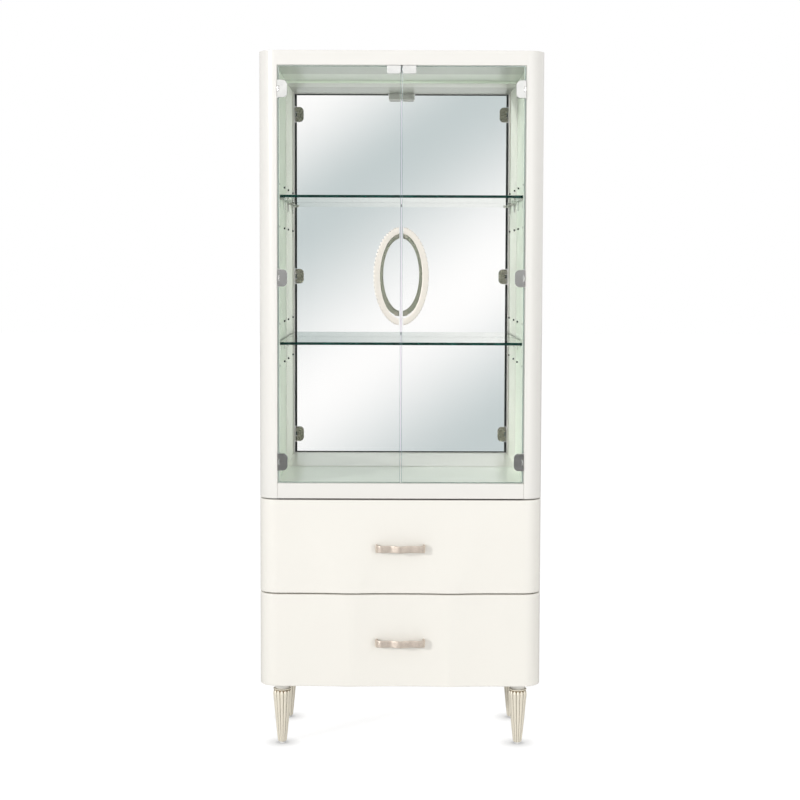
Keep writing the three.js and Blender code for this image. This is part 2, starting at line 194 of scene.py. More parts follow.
def node(tree, kind, *terms, **values):
    """A node; values go to the sockets or settings they name, terms to the sockets in their order."""
    made = tree.nodes.new(kind)
    for key, value in values.items():
        socket = made.inputs.get(key.replace("_", " "))
        if socket is None:
            setattr(made, key, value)
        else:
            fill(tree, socket, value)
    for socket, term in zip(made.inputs, terms):
        fill(tree, socket, term)
    return made


def maths(tree, operation, *terms, **values):
    return node(tree, "ShaderNodeMath", *terms, operation=operation, **values).outputs["Value"]


def mix_shader(tree, factor, first, second):
    return node(tree, "ShaderNodeMixShader", factor, first, second).outputs["Shader"]


def map_range(tree, value, **ends):
    return node(tree, "ShaderNodeMapRange", Value=value, **ends).outputs["Result"]


def object_place(tree):
    return node(tree, "ShaderNodeTexCoord").outputs["Object"]


def along(tree, vector, axis):
    """A vector's part along X, Y or Z."""
    return node(tree, "ShaderNodeSeparateXYZ", Vector=vector).outputs[axis]


def emission(tree, **values):
    return node(tree, "ShaderNodeEmission", **values).outputs["Emission"]


def noise(scale, detail=2.0, stretch=(1, 1, 1)):
    """A pattern of noise on Object coordinates; scale is in cycles a metre."""

    def pattern(tree):
        place = node(tree, "ShaderNodeMapping", Vector=object_place(tree), Scale=stretch)
        texture = node(tree, "ShaderNodeTexNoise", Vector=place.outputs["Vector"], Scale=scale, Detail=detail)
        return texture.outputs["Fac"]

    return pattern


def ramp(tree, factor, stops):
    """A colour ramp over the factor; a stop's colour may be one number for a grey."""
    made = node(tree, "ShaderNodeValToRGB", Fac=factor)
    elements = made.color_ramp.elements
    while len(elements) < len(stops):
        elements.new(0.5)
    for element, (place, colour) in zip(elements, stops):
        element.position = place
        element.color = (colour, colour, colour, 1) if isinstance(colour, float) else (*colour, 1)
    return made.outputs["Color"]


def shade(colour, factor):
    return tuple(min(1.0, c * factor) for c in colour)


def tones(colour, *steps):
    """Ramp stops in one colour; each step is a place and how light the colour is there."""
    return [(place, shade(colour, factor)) for place, factor in steps]


def band(colour, low, high):
    return tones(colour, (0.3, low), (0.7, high))


def surface(tree, shader):
    node(tree, "ShaderNodeOutputMaterial", Surface=shader)


def seen_directly(tree, path):
    """1 for rays from the camera, straight or through glass."""
    return maths(tree, "MAXIMUM", path["Is Camera Ray"], path["Is Transmission Ray"])


# ---- finishes ----
def finish(name, stops, pattern, rough=None, peel=None, **values):
    """A finish coloured by a ramp over a pattern.

    rough is a pattern with its lowest and highest roughness, and peel is a pattern with
    the strength and height of the bumps it makes.
    """
    made, tree = new_material(name)
    if tree is None:
        return made
    values["Base_Color"] = ramp(tree, pattern(tree), stops)
    if rough:
        texture, low, high = rough
        values["Roughness"] = map_range(tree, texture(tree), To_Min=low, To_Max=high)
    if peel:
        texture, strength, height = peel
        bumps = node(tree, "ShaderNodeBump", Strength=strength, Distance=height, Height=texture(tree))
        values["Normal"] = bumps.outputs["Normal"]
    surface(tree, node(tree, "ShaderNodeBsdfPrincipled", **values).outputs["BSDF"])
    return made


def lacquer_finish(name, colour, gloss, variation):
    """Sprayed lacquer: faint cloudiness, fine orange peel, slight changes of gloss."""
    return finish(
        name, band(colour, 1 - variation, 1 + variation), noise(3.0),
        (noise(14.0), gloss - 0.04, gloss + 0.06), (noise(420.0, 1.0), 0.06, 0.0002),
        Coat_Weight=0.3, Coat_Roughness=0.14, Coat_IOR=1.5,
    )


def outer_lacquer():
    return lacquer_finish("warm_white_lacquer", colours().lacquer, 0.3, 0.008)


# painted light: a lighter, slightly warmer copy of the outside lacquer, so that the drawer fronts read
# brighter than the case
def drawer_lacquer_painted_light():
    return lacquer_finish("drawer_lacquer_painted_light", (0.852, 0.828, 0.768), 0.3, 0.008)


# painted light: a lighter copy of the inside lacquer, so that the deck reads brighter
def deck_lacquer_painted_light():
    return lacquer_finish("deck_lacquer_painted_light", (0.96, 0.985, 0.93), 0.34, 0.004)


def inner_lacquer():
    """Satin lacquer of the display space, as painted light: the outside white made lighter, and greener as
    seen through the glass.
    """
    stops = band(colours().inner_lacquer, 0.995, 1.005)
    return finish("inside_lacquer_painted_light", stops, noise(2.0), Roughness=0.55, Specular_IOR_Level=0.25)


def ceiling_lacquer_painted_shade():
    """Inside lacquer with painted shade and light: deeper in tone towards the doors, lighter in a band at the
    back.
    """

    def depth(tree):
        return map_range(tree, along(tree, object_place(tree), "Y"), From_Min=-0.2, From_Max=0.22)

    # painted shade over the front of the ceiling, painted light over its back part
    stops = tones(colours().inner_lacquer, (0.0, 0.55), (0.54, 0.6), (0.58, 0.85))
    gloss = (noise(14.0), 0.28, 0.36)
    return finish("ceiling_lacquer_painted_shade", stops, depth, gloss, Coat_Weight=0.15, Coat_Roughness=0.2)


def clear_glass(name, tint, through, bend=1.45):
    """Clear glass for sight, plain tinted transparency for lamp and diffuse rays."""
    made, tree = new_material(name)
    if tree is None:
        return made
    faint = ramp(tree, noise(1.5, 0.0)(tree), band(tint, 0.998, 1.002))
    glass = node(tree, "ShaderNodeBsdfGlass", Color=faint, IOR=bend, Roughness=0.0)
    clear = node(tree, "ShaderNodeBsdfTransparent", Color=(*through, 1))
    path = node(tree, "ShaderNodeLightPath").outputs
    lamp_or_diffuse = maths(tree, "MAXIMUM", path["Is Shadow Ray"], path["Is Diffuse Ray"])
    surface(tree, mix_shader(tree, lamp_or_diffuse, glass.outputs["BSDF"], clear.outputs["BSDF"]))
    return made


def door_glass():
    return clear_glass("door_glass", colours().glass_tint, (0.965, 0.98, 0.967), 1.2)


def shelf_glass():
    return clear_glass("shelf_glass", shade(colours().glass_tint, 0.985), (0.94, 0.97, 0.95))


def glass_edge():
    """Dark green polished edge, in faint streaks along the glass."""
    stops = tones(colours().glass_edge, (0.3, 0.4), (0.55, 0.7), (0.8, 1.5))
    streaks = noise(30.0, 3.0, (1, 1, 0.3))
    return finish("polished_glass_edge", stops, streaks, Roughness=0.5, Specular_IOR_Level=0.05)


def door_edge_painted_light():
    """Polished edge of clear glass, painted light: brighter than the dark green edges of the shelves."""
    stops = [(0.3, (0.16, 0.25, 0.25)), (0.6, (0.28, 0.4, 0.4)), (0.8, (0.6, 0.72, 0.72))]
    return finish("painted_light_glass_edge", stops, noise(12.0, 2.0, (1, 1, 0.5)), Roughness=0.15, IOR=1.4)


def silvering():
    stops = [(0.3, (0.93, 0.885, 0.905)), (0.7, (0.945, 0.90, 0.92))]
    return finish("mirror_silver", stops, noise(2.0), (noise(6.0), 0.0, 0.002), Metallic=1.0)


def champagne_silver(name="champagne_silver", metal=0.3, light=None):
    """Silver leaf under a warm glaze; the patina attribute says how dark a point is: deep in the grooves, and
    on the back faces of the pulls and the oval handle.
    """

    def wear(tree):
        depth = node(tree, "ShaderNodeAttribute", attribute_name="patina").outputs["Fac"]
        return maths(tree, "MULTIPLY_ADD", noise(160.0, 4.0)(tree), 0.35, depth)

    stops = tones(light or colours().champagne, (0.12, 1.08), (0.4, 1.0), (0.7, 0.55))
    stops.append((0.92, colours().antiquing))
    gloss = (noise(60.0, 3.0), 0.34, 0.5)
    return finish(name, stops, wear, gloss, (noise(700.0, 2.0), 0.12, 0.0003), Metallic=metal)


# greyer than the champagne silver, as the oval handle is, and darker as painted shade against the key light
# that falls on it
def pale_silver_painted_shade():
    return champagne_silver("pale_champagne_painted_shade", 0.3, (0.76, 0.72, 0.645))


def rosy_silver():
    return champagne_silver("rosy_silver", 0.74, (0.78, 0.68, 0.585))


def metal_finish(name, colour, low, high, brushed=(1, 1, 1)):
    return finish(
        name, band(colour, 0.93, 1.05), noise(25.0, 3.0),
        (noise(80.0, 3.0, brushed), low, high), (noise(500.0, 2.0, brushed), 0.05, 0.0002), Metallic=1.0,
    )


def polished_steel():
    return metal_finish("polished_steel", colours().steel, 0.1, 0.24)


def shaded_steel():
    return metal_finish("shaded_steel", (0.33, 0.33, 0.27), 0.2, 0.35)


def zinc_steel():
    return metal_finish("zinc_steel", (0.55, 0.56, 0.57), 0.3, 0.45, (1, 0.05, 1))


def plastic_finish(name, colour, roughness):
    return finish(
        name, band(colour, 0.97, 1.02), noise(20.0),
        (noise(90.0), roughness - 0.05, roughness + 0.08), (noise(1500.0, 1.0), 0.08, 0.0001),
    )


def white_plastic():
    return plastic_finish("white_plastic", (0.80, 0.80, 0.79), 0.4)


# painted shade: near-black plastic on the backs of the door seals and on the plugs in the empty pin holes
def painted_shade_plastic():
    return plastic_finish("dark_plastic_painted_shade", (0.012, 0.016, 0.018), 0.7)


def drawer_board():
    """Pale sealed wood with long grain."""
    grain = noise(60.0, 6.0, (0.06, 0.06, 1.4))
    stops = [(0.3, (0.62, 0.50, 0.35)), (0.55, (0.72, 0.61, 0.45)), (0.75, (0.78, 0.68, 0.52))]
    return finish("drawer_box_wood", stops, grain, (grain, 0.38, 0.55), (grain, 0.1, 0.0004), Coat_Weight=0.1)


def gap_shade_board():
    """Dark brown board, painted shade for the gaps: it shows only there, and its near-black brown stands in
    for the shade in them.
    """
    grain = noise(60.0, 5.0, (0.08, 1, 1))
    stops = [(0.3, (0.075, 0.042, 0.024)), (0.7, (0.13, 0.078, 0.046))]
    return finish("gap_shade_brown_board", stops, grain, peel=(grain, 0.2, 0.0004), Roughness=0.7)


# ---- modelling helpers ----
def pick(*objects):
    bpy.ops.object.select_all(action="DESELECT")
    for each in objects:
        each.select_set(True)
    bpy.context.view_layer.objects.active = objects[0]


def added(name):
    """The piece that has just been added, under its own name."""
    made = bpy.context.object
    made.name = name
    return made


def bake_place(obj):
    pick(obj)
    bpy.ops.object.transform_apply(location=True, rotation=True, scale=True)
    return obj


def block(name, low, high):
    centre = [(a + b) / 2 for a, b in zip(low, high)]
    extent = [b - a for a, b in zip(low, high)]
    bpy.ops.mesh.primitive_cube_add(size=1, location=centre, scale=extent)
    return bake_place(added(name))


def rod(name, centre, radius, length, axis, sides=32):
    """A cylinder along X, Y or Z."""
    turn = {"X": (0, math.pi / 2, 0), "Y": (math.pi / 2, 0, 0), "Z": (0, 0, 0)}[axis]
    bpy.ops.mesh.primitive_cylinder_add(
        vertices=sides, radius=radius, depth=length, location=centre, rotation=turn
    )
    return bake_place(added(name))


def apply_modifier(obj, kind, **values):
    pick(obj)
    step = obj.modifiers.new(kind.lower(), kind)
    for key, value in values.items():
        setattr(step, key, value)
    bpy.ops.object.modifier_apply(modifier=step.name)


def cut(obj, cutter):
    apply_modifier(obj, "BOOLEAN", operation="DIFFERENCE", solver="EXACT", object=cutter)
    bpy.data.objects.remove(cutter, do_unlink=True)


def select_only(obj, kind, test):
    """Leaves the piece in edit mode with the edges or faces selected that pass the test."""
    pick(obj)
    bpy.ops.object.mode_set(mode="EDIT")
    bpy.ops.mesh.select_mode(type=kind)
    bpy.ops.mesh.select_all(action="DESELECT")
    bpy.ops.object.mode_set(mode="OBJECT")
    for part in obj.data.edges if kind == "EDGE" else obj.data.polygons:
        part.select = test(part)
    bpy.ops.object.mode_set(mode="EDIT")


def press_face(obj, side, inset, depth):
    """Insets the face that looks away from this side and presses it towards the side."""
    select_only(obj, "FACE", lambda face: face.normal.x * side < -0.9)
    bpy.ops.mesh.inset(thickness=inset)
    bpy.ops.transform.translate(value=(side * depth, 0, 0))
    bpy.ops.object.mode_set(mode="OBJECT")


def smooth_by_angle(obj, degrees):
    pick(obj)
    bpy.ops.object.shade_smooth_by_angle(angle=math.radians(degrees))


def round_edges(obj, width, segments=3, angle=40, smooth=True):
    """Rounded edges; smooth shading keeps flat faces flat."""
    apply_modifier(
        obj, "BEVEL", width=width, segments=segments, limit_method="ANGLE", angle_limit=math.radians(angle)
    )
    if smooth:
        smooth_by_angle(obj, 35)
        apply_modifier(obj, "WEIGHTED_NORMAL", keep_sharp=True)
    else:
        bpy.ops.object.shade_flat()


def from_frame(name, node_name):
    """A tidy copy of a frame piece: merged, with its flat faces whole."""
    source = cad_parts[node_name]
    made = bpy.data.objects.new(name, source.data.copy())
    made.data.materials.clear()
    bpy.context.collection.objects.link(made)
    pick(made)
    bpy.ops.object.mode_set(mode="EDIT")
    bpy.ops.mesh.select_all(action="SELECT")
    bpy.ops.mesh.remove_doubles(threshold=0.00002)
    bpy.ops.mesh.dissolve_limited(angle_limit=math.radians(1))
    bpy.ops.mesh.normals_make_consistent(inside=False)
    bpy.ops.object.mode_set(mode="OBJECT")
    return made


def paint(obj, *materials, choose=None):
    """Gives the piece its materials; choose tells from a face's normal which one the face takes."""
    obj.data.materials.clear()
    for material in materials:
        obj.data.materials.append(material)
    if choose:
        for polygon in obj.data.polygons:
            polygon.material_index = int(choose(polygon.normal))


def settle(obj, body, material_slot, *nodes):
    """The finished piece rides on its body and stands for its frame pieces."""
    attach(obj, body)
    if nodes:
        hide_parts(*nodes)


def dress(node_name, body, material_slot, material, width, segments=3, smooth=True, name=None):
    """A frame piece with rounded edges in its finish."""
    made = from_frame(name or f"{node_name}_finish", node_name)
    round_edges(made, width, segments, smooth=smooth)
    paint(made, material)
    settle(made, body, material_slot, node_name)


def loft(name, rings, patina=None):
    """Rings of points joined one to the next, with both ends filled."""
    around = len(rings[0])
    bpy.ops.mesh.primitive_grid_add(x_subdivisions=around, y_subdivisions=len(rings) - 1, size=1)
    made = added(name)
    mesh = made.data
    if len(mesh.vertices) != (around + 1) * len(rings):
        raise RuntimeError("the grid has another number of points than the rings")
    if patina:
        layer = mesh.attributes.new("patina", "FLOAT", "POINT")
    for row, ring in enumerate(rings):
        for column in range(around + 1):
            index = row * (around + 1) + column
            mesh.vertices[index].co = ring[column % around]
            if patina:
                layer.data[index].value = patina[row][column % around]
    pick(made)
    bpy.ops.object.mode_set(mode="EDIT")
    bpy.ops.mesh.select_mode(type="VERT")
    bpy.ops.mesh.select_all(action="SELECT")
    bpy.ops.mesh.remove_doubles(threshold=0.000001)
    bpy.ops.mesh.select_all(action="DESELECT")
    bpy.ops.mesh.select_non_manifold()
    bpy.ops.mesh.edge_face_add()
    bpy.ops.mesh.select_all(action="SELECT")
    bpy.ops.mesh.normals_make_consistent(inside=False)
    bpy.ops.object.mode_set(mode="OBJECT")
    bpy.ops.object.location_clear()
    return made


def circle(x, y, radius, z, steps):
    angles = [2 * math.pi * i / steps for i in range(steps)]
    return [(x + radius * math.cos(a), y + radius * math.sin(a), z) for a in angles]


def join(name, *pieces):
    pick(*pieces)
    bpy.ops.object.join()
    return added(name)


# ---- case ----
class CURIO_OT_case_shell(bpy.types.Operator):
    """Seamless lacquered shell: sides, rounded corner posts and top rail"""

    bl_idname = "curio.case_shell"
    bl_label = "Case shell"

    def execute(self, context):
        shell = block("case_shell", (-HALF, FRONT, CASE_BOTTOM), (HALF, BACK, HEIGHT))

        def front_corner(edge):
            a, b = (shell.data.vertices[i].co for i in edge.vertices)
            return max(abs(a.y - FRONT), abs(b.y - FRONT)) < 1e-5 and abs(a.z - b.z) > 1

        select_only(shell, "EDGE", front_corner)
        bpy.ops.mesh.bevel(offset=CORNER, segments=28, affect="EDGES")
        bpy.ops.object.mode_set(mode="OBJECT")
        past = 0.1
        overlap = 0.01
        before = FRONT - past
        cut(shell, block("hollow", (-SIDE_INNER, POST_BACK, 0), (SIDE_INNER, BACK + past, HEIGHT + past)))
        cut(shell, block("hollow", (-OPENING, RAIL_BACK, 0), (OPENING, POST_BACK + overlap, HEIGHT + past)))
        cut(shell, block("doorway", (-OPENING, before, 0), (OPENING, RAIL_BACK + overlap, CEILING)))
        cut(shell, block("drawers", (-1, before, 0), (1, SIDE_START, POST_BOTTOM)))
        cut(shell, block("drawers", (-SIDE_INNER, FRONT, 0), (SIDE_INNER, POST_BACK + overlap, POST_BOTTOM)))
        round_edges(shell, sizes().edge_round)
        paint(shell, outer_lacquer())
        nodes = [f"{name}_{part}" for name, _ in SIDES for part in ("side_panel", "corner_post")]
        settle(shell, "cabinet", "outer_lacquer", "top_rail", *nodes)
        return {"FINISHED"}


class CURIO_OT_boards(bpy.types.Operator):
    """Rail, top, deck, ceiling, back, base, divider and side linings with softened edges"""

    bl_idname = "curio.boards"
    bl_label = "Boards"

    def execute(self, context):
        for name in ("bottom_rail", "top_panel", "back_panel", "base_panel"):
            self.outer(name, outer_lacquer())
        # painted shade: the divider's dark board makes the shaded gap between the drawers
        self.outer("drawer_divider", gap_shade_board())
        rail = bpy.data.objects["bottom_rail_finish"]
        # painted shade: the rail's underside takes the dark board, for the shaded gap over the upper drawer
        paint(rail, outer_lacquer(), gap_shade_board(), choose=lambda normal: normal.z < -0.7)
        # painted shade and painted light on the ceiling
        self.inner("ceiling_panel", ceiling_lacquer_painted_shade(), 0.0006)
        # painted light: the deck takes the lighter lacquer
        self.inner("deck_panel", deck_lacquer_painted_light(), 0.0006)
        for name, side in SIDES:
            self.inner(f"{name}_side_lining", inner_lacquer(), 0.0001)
            self.pin_holes(name, side)
        self.back_screws()
        return {"FINISHED"}

    def outer(self, node_name, material):
        dress(node_name, "cabinet", "outer_lacquer", material, sizes().edge_round)

    def inner(self, node_name, material, width):
        """An inside board keeps flat faces, so that no shading runs across it."""
        dress(node_name, "cabinet", "inner_lacquer", material, width, smooth=False)

    def pin_holes(self, name, side):
        """Near-black plugs with dimpled heads in the shelf-pin holes that no support fills: painted shade for
        the dark of the empty holes.
        """
        low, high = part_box(f"{name}_side_lining")
        face = side * min(abs(low.x), abs(high.x))
        radius = 0.003
        length = 0.005
        centre_x = face - side * 0.0021
        plugs = []
        for shelf, row in PIN_ROWS.items():
            for place in ("front", "back"):
                low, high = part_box(f"{shelf}_support_{name}_{place}")
                y = (low.y + high.y) / 2
                for step in (-PIN_STEP, PIN_STEP):
                    plug = rod("plug", (centre_x, y, row + step), radius, length, "X", 24)
                    press_face(plug, side, 0.0006, 0.0005)
                    round_edges(plug, 0.0003, 2)
                    plugs.append(plug)
        made = join(f"{name}_pin_hole_plugs", *plugs)
        # painted shade: the plugs take the near-black plastic
        paint(made, painted_shade_plastic())
        settle(made, "cabinet", "inner_lacquer")

    def back_screws(self):
        """Countersunk screws round the back panel."""
        low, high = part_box("back_panel")
        from_side = 0.012
        from_end = 0.08
        rows = 8
        gap = (high.z - low.z - 2 * from_end) / (rows - 1)
        heads = []
        for x in (low.x + from_side, high.x - from_side):
            for row in range(rows):
                centre = (x, high.y - 0.0004, low.z + from_end + row * gap)
                heads.append(rod("back_screw", centre, 0.004, 0.0007, "Y", 20))
        screws = join("back_panel_screws", *heads)
        round_edges(screws, 0.0002, 2)
        paint(screws, zinc_steel())
        settle(screws, "cabinet", "zinc_steel")


class CURIO_OT_mirror(bpy.types.Operator):
    """Full mirror back with its holding strip, and the dust seals round the doors"""

    bl_idname = "curio.mirror"
    bl_label = "Mirror and seals"

    def execute(self, context):
        dress("mirror", "cabinet", "mirror", silvering(), 0.001, 1, smooth=False)
        low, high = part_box("mirror")
        gap = 0.0002
        strip = block(
            "mirror_holding_strip",
            (low.x, low.y - 0.003, CEILING - 0.008), (high.x, low.y - gap, CEILING - gap),
        )
        round_edges(strip, 0.001)
        paint(strip, inner_lacquer())
        settle(strip, "cabinet", "inner_lacquer")
        self.seals(gap)
        return {"FINISHED"}

    def seals(self, gap):
        """Thin strips behind the door edges, broken at the hinges: pale in front, and painted shade behind,
        where the mirror sees them.
        """
        width = sizes().seal_width
        front = DOOR_BACK + 0.0008
        back = front + 0.0016
        hinge_reach = 0.027
        latch_reach = 0.046
        stops = [DECK + gap]
        for place in ("bottom", "middle", "top"):
            low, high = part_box(f"left_{place}_hinge_clamp")
            z = (low.z + high.z) / 2
            stops += [z - hinge_reach, z + hinge_reach]
        stops.append(CEILING - gap)
        pieces = []

        def strip(x0, x1, z0, z1):
            x0, x1 = sorted((x0, x1))
            pieces.append(block("seal", (x0, front, z0), (x1, back, z1)))

        for _, side in SIDES:
            for z0, z1 in zip(stops[::2], stops[1::2]):
                strip(side * (OPENING - gap), side * (OPENING - width), z0, z1)
        reach = OPENING - width - gap
        strip(-reach, reach, DECK + gap, DECK + 0.004)
        for _, side in SIDES:
            strip(side * latch_reach, side * reach, CEILING - 0.0045, CEILING - gap)
        made = join("door_dust_seals", *pieces)
        round_edges(made, 0.0003, 2)
        # painted shade: the faces turned back to the mirror take the near-black plastic
        paint(made, inner_lacquer(), painted_shade_plastic(), choose=lambda normal: normal.y > 0.5)
        settle(made, "cabinet", "inner_lacquer")


# ---- glass ----
def glass_pane(node_name, glass, body, material_slot, flat_axis):
    """A pane with small polished chamfers; a shelf's edges are dark green, a door's are painted light where
    they face forward and sideways, and dark green behind.
    """
    made = from_frame(f"{node_name}_pane", node_name)
    round_edges(made, 0.001, 2, smooth=False)

    def choose(normal):
        if abs(normal[flat_axis]) > 0.99:
            return 0
        # painted light on a door's forward and side chamfers
        return 2 if flat_axis == 1 and normal.y < 0.2 else 1

    paint(made, glass, glass_edge(), door_edge_painted_light(), choose=choose)
    settle(made, body, material_slot, node_name)


class CURIO_OT_shelves(bpy.types.Operator):
    """Glass shelves on their polished supports"""

    bl_idname = "curio.shelves"
    bl_label = "Shelves"

    def execute(self, context):
        for shelf in PIN_ROWS:
            glass_pane(shelf, shelf_glass(), "cabinet", "shelf_glass", 2)
            for name, _ in SIDES:
                for place in ("front", "back"):
                    support = f"{shelf}_support_{name}_{place}"
                    dress(support, "cabinet", "polished_steel", polished_steel(), 0.0012, 4)
        return {"FINISHED"}


# ---- doors ----
def screw_head(name, seat, radius=0.0036):
    """A pan head with a cross recess, standing on its seat towards the back."""
    x, y, z = seat
    height = 0.0016
    recess = 0.0008
    head = rod(name, (x, y + height / 2, z), radius, height, "Y", 28)
    top = y + height
    for wide, tall in ((radius * 1.2, recess), (recess, radius * 1.2)):
        low = (x - wide / 2, top - recess, z - tall / 2)
        cut(head, block("slot", low, (x + wide / 2, top + 0.001, z + tall / 2)))
    round_edges(head, 0.0003, 2, 50)
    return head


class CURIO_OT_doors(bpy.types.Operator):
    """Glass doors with hinges, strike plates and the two halves of the oval handle"""

    bl_idname = "curio.doors"
    bl_label = "Doors"

    def execute(self, context):
        for name, side in SIDES:
            body = f"{name}_door"
            strike = f"{name}_door_strike"
            glass_pane(f"{name}_door_glass", door_glass(), body, "door_glass", 1)
            dress(strike, body, "polished_steel", polished_steel(), 0.0006, name=f"{name}_strike_plate")
            for place in ("top", "middle", "bottom"):
                self.hinge(name, side, place)
            self.handle(name, side)
        return {"FINISHED"}

    def hinge(self, name, side, place):
        clamp_node = f"{name}_{place}_hinge_clamp"
        clamp = from_frame(f"{clamp_node}_finish", clamp_node)
        round_edges(clamp, 0.0007)
        low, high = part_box(clamp_node)
        screw_x = (low.x + high.x) / 2 - side * 0.002
        from_end = 0.013
        heads = [
            screw_head("hinge_screw", (screw_x, high.y - 0.0003, z))
            for z in (low.z + from_end, high.z - from_end)
        ]
        clamp = join(f"{clamp_node}_finish", clamp, *heads)
        paint(clamp, polished_steel(), shaded_steel(), choose=lambda normal: normal.y > 0.3)
        settle(clamp, f"{name}_door", "polished_steel", clamp_node)
        bracket = f"{name}_{place}_hinge_bracket"
        dress(bracket, "cabinet", "polished_steel", polished_steel(), 0.0004, 2)

    def handle(self, name, side):
        """A crowned band with a fluted rim, on two posts that are screwed through the glass."""
        node_name = f"{name}_door_handle"
        low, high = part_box(node_name)
        middle = (low.z + high.z) / 2
        teeth = 32
        tooth = 0.0038
        width = 0.0205
        depth = 0.012
        front = low.y
        outer_x = max(abs(low.x), abs(high.x)) - tooth * 0.5
        outer_z = (high.z - low.z) / 2
        gap = min(abs(low.x), abs(high.x))
        start = math.asin(gap / outer_x)
        steps = teeth * 6
        rings = []
        patina = []
        for step in range(steps + 1):
            share = step / steps
            angle = start + share * (math.pi - 2 * start)
            flute = 0.5 * (1 + math.cos(2 * math.pi * teeth * share))
            ring = []
            dark = []
            for across, forward, rim in handle_section():
                inset = across * width
                wide = outer_x - inset + rim * tooth * (flute - 1)
                tall = outer_z - inset + rim * tooth * (flute - 1)
                x = side * max(gap, wide * math.sin(angle))
                y = front + depth * (1 - forward)
                ring.append((x, y, middle + tall * math.cos(angle)))
                # darker in the flutes, and darker on the back of the band
                dark.append(rim * 0.5 * (1 - flute) + (0.25 if forward < 0.3 else 0.0))
            rings.append(ring)
            patina.append(dark)
        oval = f"{name}_oval_handle"
        made = loft(oval, rings, patina)
        smooth_by_angle(made, 40)
        made = join(oval, made, *self.posts(side, middle, outer_z - width / 2 - 0.0015, front + depth))
        # painted shade: the handle takes the darker copy of the champagne silver
        paint(made, pale_silver_painted_shade())
        settle(made, f"{name}_door", "champagne_silver", node_name)

    def posts(self, side, middle, reach, back):
        """A post, a washer and a screw at each end of the handle."""
        x = side * 0.017
        start = back - 0.002
        length = DOOR_FRONT - 0.0003 - start
        pieces = []
        for z in (middle - reach, middle + reach):
            post = rod("post", (x, start + length / 2, z), 0.0045, length, "Y")
            round_edges(post, 0.0006, 2)
            washer = rod("washer", (x, DOOR_BACK + 0.0013, z), 0.008, 0.002, "Y")
            round_edges(washer, 0.0006)
            head = screw_head("handle_screw", (x, DOOR_BACK + 0.0023, z), 0.0045)
            pieces += [post, washer, head]
        return pieces


def handle_section():
    """Points round the band's section: share across from the rim, share forward, how much the flutes show."""
    section = []
    points = 8
    for step in range(points + 1):
        share = step / points
        crown = 1 - 0.1 * (2 * share - 1) ** 4
        section.append((share, crown, max(0.0, 1 - share * 5)))
    section += [(1.0, 0.5, 0.0), (1.0, 0.06, 0.0), (0.96, 0.0, 0.0), (0.5, 0.0, 0.0), (0.06, 0.0, 0.3)]
    section += [(0.0, 0.08, 0.8), (0.0, 0.4, 1.0)]
    return section


class CURIO_OT_latch(bpy.types.Operator):
    """Touch latch under the ceiling with its two plungers"""

    bl_idname = "curio.latch"
    bl_label = "Latch"

    def execute(self, context):
        body = from_frame("touch_latch", "latch_body")
        round_edges(body, 0.0012)
        low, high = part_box("latch_body")
        heads = []
        for _, side in SIDES:
            centre = (side * (high.x - 0.007), low.y + 0.018, low.z + 0.0002)
            heads.append(rod("latch_screw", centre, 0.003, 0.0012, "Z", 24))
        body = join("touch_latch", body, *heads)
        paint(body, white_plastic())
        settle(body, "cabinet", "white_plastic", "latch_body")
        for name, _ in SIDES:
            node_name = f"{name}_latch_plunger"
            low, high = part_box(node_name)
            radius = (high.z - low.z) / 2
            plunger = rod(f"{node_name}_finish", (low + high) / 2, radius, high.y - low.y, "Y", 40)
            round_edges(plunger, 0.0008, 4)
            paint(plunger, white_plastic())
            settle(plunger, node_name, "white_plastic", node_name)
        return {"FINISHED"}


# ---- drawers ----
def clamp01(value):
    return min(1.0, max(0.0, value))


def smooth(value):
    t = clamp01(value)
    return t * t * (3 - 2 * t)


def hollow_half_width(z):
    t = clamp01((z - CASE_BOTTOM) / sizes().arch_height)
    return (sizes().ridge_x - 0.0006) * math.sqrt(max(0.02, 1 - t**3))


def ridge_outer_edge(z):
    rise = ((z - CASE_BOTTOM) / 0.295) ** 3.5 if z > CASE_BOTTOM else 0.0
    return min(sizes().hollow_end - 0.020, sizes().ridge_x + 0.0006 + 0.023 * rise)


def relief(x, z):
    """How far the carved surface stands in front of the case at a place on it."""
    rise = sizes().ridge_rise
    crest = rise * (1 - smooth((z - DRAWER_SPLIT) / 0.245))
    reach = abs(x)
    inner = hollow_half_width(z)
    outer = ridge_outer_edge(z)
    if reach < inner:
        depth = (rise - 0.001) * (1 - clamp01((z - CASE_BOTTOM) / sizes().arch_height) ** 3)
        return crest - min(depth, crest) * (1 - (reach / inner) ** 3)
    if reach > outer:
        end = sizes().hollow_end
        return crest * (1 - clamp01((reach - outer) / (end - outer))) ** 2.4
    return crest


def front_stations(z):
    inner = hollow_half_width(z)
    outer = ridge_outer_edge(z)
    end = sizes().hollow_end
    half = [inner * i / 14 for i in range(14)]
    half += [inner, (inner + outer) / 2]
    half += [outer + (end - outer) * i / 12 for i in range(12)]
    half += [end, (end + OPENING) / 2]
    return [-x for x in reversed(half[1:])] + half


def front_ring(z, inset):
    """The drawer front's outline at one height, drawn in by inset at its rounded edges."""
    radius = CORNER - inset
    middle_y = FRONT + CORNER
    steps = 18

    def corner(x, start):
        angles = [start + step / steps * math.pi / 2 for step in range(steps + 1)]
        return [(x + radius * math.cos(a), middle_y + radius * math.sin(a), z) for a in angles]

    ring = corner(-OPENING, math.pi)
    ring += [(x, FRONT - relief(x, z) + inset, z) for x in front_stations(z)]
    ring += corner(OPENING, 1.5 * math.pi)
    inner_y = FRONT + 0.028
    back = ((SIDE_INNER, middle_y), (SIDE_INNER, inner_y), (-SIDE_INNER, inner_y), (-SIDE_INNER, middle_y))
    return ring + [(x, y, z) for x, y in back]


